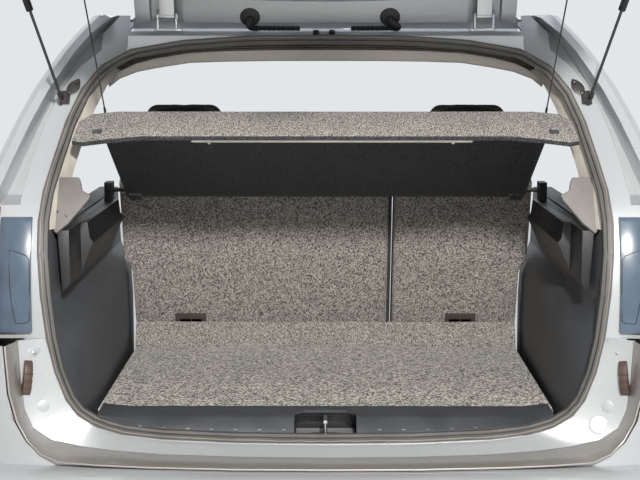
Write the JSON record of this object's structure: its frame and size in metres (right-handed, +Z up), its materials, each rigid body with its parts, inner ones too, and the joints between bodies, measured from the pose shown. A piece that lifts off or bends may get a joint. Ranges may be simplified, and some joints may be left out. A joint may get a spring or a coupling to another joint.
{
  "type": "vehicle rear body section",
  "caption": "Open luggage bay of a compact crossover: rear body section with raised tailgate, gas struts, parcel shelf, load floor and folding rear seat backs.",
  "frame": {"origin": "centre of the front face of the floor's cross bar, where the section joins the rest of the body", "axes": "+X to the car's right, +Y forward, +Z up"},
  "size_m": [1.772, 1.9088, 1.552],
  "materials": {
    "beige_plastic": "light beige, fine grain",
    "black_plastic": "grained black",
    "carpet": "needled felt",
    "cord": "woven black",
    "glass": "tinted",
    "grey_plastic": "grained grey",
    "lamp_bezel": "gloss blue grey",
    "lamp_lens": "clear red",
    "rubber": "dull",
    "silver_paint": "metallic silver paint",
    "silver_panel": "metallic silver paint on moulded panels",
    "steel": "plated",
    "underseal": "dark underseal",
    "upholstery": "dark woven cloth"
  },
  "bodies": {
    "body": {"body_side_left": "silver_paint", "body_side_right": "silver_paint", "bumper_cover": "silver_panel", "bumper_step": "silver_panel", "floor_flap": "carpet", "floor_pan": "underseal", "headliner": "beige_plastic", "hinge_bracket_left": "steel", "hinge_bracket_right": "steel", "lamp_bezel_left": "lamp_bezel", "lamp_bezel_right": "lamp_bezel", "pillar_trim_left": "beige_plastic", "pillar_trim_right": "beige_plastic", "quarter_glass_left": "glass", "quarter_glass_right": "glass", "rear_crossmember": "silver_paint", "rear_panel": "silver_paint", "roof_header": "silver_paint", "seat_cushion": "upholstery", "shelf_rest_left": "grey_plastic", "shelf_rest_right": "grey_plastic", "side_trim_left": "upholstery", "side_trim_right": "upholstery", "sill_trim": "grey_plastic", "striker": "steel", "striker_floor": "silver_paint", "strut_foot_left": "steel", "strut_foot_right": "steel", "tail_lamp_left": "lamp_lens", "tail_lamp_right": "lamp_lens", "underfloor_tray": "black_plastic", "weatherstrip": "rubber", "wheelhouse_left": "black_plastic", "wheelhouse_right": "black_plastic", "wiring_boot_left": "rubber", "wiring_boot_right": "rubber"},
    "tailgate": {"tailgate_shell": "silver_panel", "tailgate_glass": "glass", "tailgate_spoiler": "silver_panel", "tailgate_trim": "black_plastic", "tailgate_latch": "steel", "hinge_arm_left": "steel", "hinge_arm_right": "steel"},
    "parcel_shelf": {"parcel_shelf": "carpet"},
    "load_floor": {"load_floor": "carpet"},
    "strut_cylinder_left": {"strut_cylinder_left": "black_plastic"},
    "strut_rod_left": {"strut_rod_left": "steel"},
    "shelf_cord_left": {"shelf_cord_left": "cord"},
    "seat_back_left": {"seat_back_left": "carpet", "tether_left": "grey_plastic"},
    "head_restraint_left": {"head_restraint_left": "upholstery"},
    "strut_cylinder_right": {"strut_cylinder_right": "black_plastic"},
    "strut_rod_right": {"strut_rod_right": "steel"},
    "shelf_cord_right": {"shelf_cord_right": "cord"},
    "seat_back_right": {"seat_back_right": "carpet", "tether_right": "grey_plastic"},
    "head_restraint_right": {"head_restraint_right": "upholstery"}
  },
  "joints": [
    {"name": "tailgate_hinge", "type": "hinge", "parent": "body", "child": "tailgate", "pos_m": [0, -0.982, 1.12], "axis": [1, 0, 0], "range_deg": [0, 80], "deforming": ["shelf_cord_left", "shelf_cord_right"]},
    {"name": "strut_left_swing", "type": "hinge", "parent": "tailgate", "child": "strut_cylinder_left", "pos_m": [-0.6307, -1.41154, 1.33894], "axis": [0.942, -0.3325, -0.046], "range_deg": [0, 28.14]},
    {"name": "strut_left_stroke", "type": "slide", "parent": "strut_cylinder_left", "child": "strut_rod_left", "axis": [-0.1613, -0.5687, 0.8066], "range_m": [0, 0.2026]},
    {"name": "strut_right_swing", "type": "hinge", "parent": "tailgate", "child": "strut_cylinder_right", "pos_m": [0.6307, -1.41154, 1.33894], "axis": [0.942, 0.3325, 0.046], "range_deg": [0, 28.14]},
    {"name": "strut_right_stroke", "type": "slide", "parent": "strut_cylinder_right", "child": "strut_rod_right", "axis": [0.1613, -0.5687, 0.8066], "range_m": [0, 0.2026]},
    {"name": "parcel_shelf_hinge", "type": "hinge", "parent": "body", "child": "parcel_shelf", "pos_m": [0, -0.635, 0.705], "axis": [1, 0, 0], "range_deg": [0, 25.3]},
    {"name": "shelf_cord_left_swing", "type": "hinge", "parent": "tailgate", "child": "shelf_cord_left", "pos_m": [-0.466, -1.54897, 1.3409], "axis": [1, 0, 0], "range_deg": [-60, 0]},
    {"name": "shelf_cord_right_swing", "type": "hinge", "parent": "tailgate", "child": "shelf_cord_right", "pos_m": [0.466, -1.54897, 1.3409], "axis": [1, 0, 0], "range_deg": [-60, 0]},
    {"name": "seat_back_left_fold", "type": "hinge", "parent": "body", "child": "seat_back_left", "pos_m": [0, -0.385, 0.26], "axis": [-1, 0, 0], "range_deg": [0, 100]},
    {"name": "head_restraint_left_height", "type": "slide", "parent": "seat_back_left", "child": "head_restraint_left", "axis": [0, -0.342, 0.9397], "range_m": [0, 0.05]},
    {"name": "seat_back_right_fold", "type": "hinge", "parent": "body", "child": "seat_back_right", "pos_m": [0, -0.385, 0.26], "axis": [-1, 0, 0], "range_deg": [0, 100]},
    {"name": "head_restraint_right_height", "type": "slide", "parent": "seat_back_right", "child": "head_restraint_right", "axis": [0, -0.342, 0.9397], "range_m": [0, 0.05]},
    {"name": "load_floor_hinge", "type": "hinge", "parent": "body", "child": "load_floor", "pos_m": [0, -0.522, 0.29], "axis": [-1, 0, 0], "range_deg": [0, 25]}
  ],
  "couplings": [
    {"joint": "strut_left_swing", "follows": "tailgate_hinge", "ratio": 0.34928},
    {"joint": "strut_left_stroke", "follows": "tailgate_hinge", "m_per_rad": 0.14474},
    {"joint": "strut_right_swing", "follows": "tailgate_hinge", "ratio": 0.34928},
    {"joint": "strut_right_stroke", "follows": "tailgate_hinge", "m_per_rad": 0.14474},
    {"joint": "parcel_shelf_hinge", "follows": "tailgate_hinge", "ratio": 0.3162},
    {"joint": "shelf_cord_left_swing", "follows": "tailgate_hinge", "ratio": -0.745},
    {"joint": "shelf_cord_right_swing", "follows": "tailgate_hinge", "ratio": -0.745}
  ]
}
